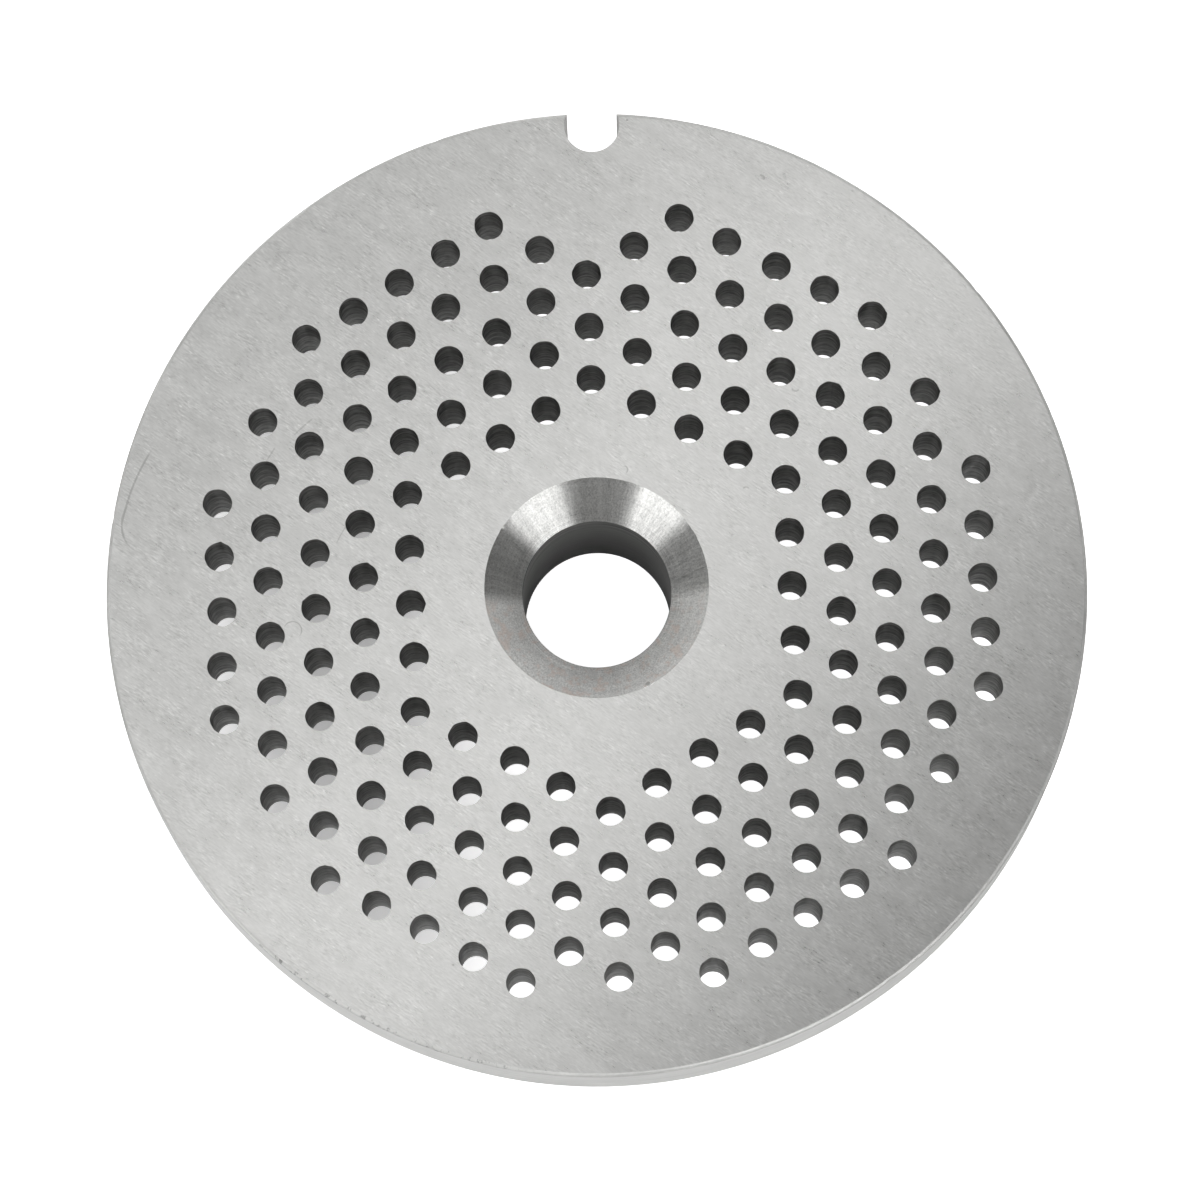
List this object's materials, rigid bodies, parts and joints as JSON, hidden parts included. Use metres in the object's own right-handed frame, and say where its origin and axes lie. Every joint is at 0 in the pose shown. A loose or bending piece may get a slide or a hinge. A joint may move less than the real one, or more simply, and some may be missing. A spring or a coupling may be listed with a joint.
{
  "type": "meat grinder plate",
  "caption": "Perforated steel cutting plate for a meat grinder: a thick ground disc full of small drilled holes, with a countersunk bore, a hub on its back and a locating notch.",
  "frame": {"origin": "on the bore's axis, at the foot of the hub", "axes": "+Z along the bore's axis, out of the ground working face; +Y from the axis to the notch's middle; the plate stands on its hub with the working face up"},
  "size_m": [0.1, 0.0999, 0.021],
  "materials": {
    "ground_steel": "ground"
  },
  "bodies": {
    "root": {"grinder_plate": "ground_steel"}
  },
  "joints": []
}
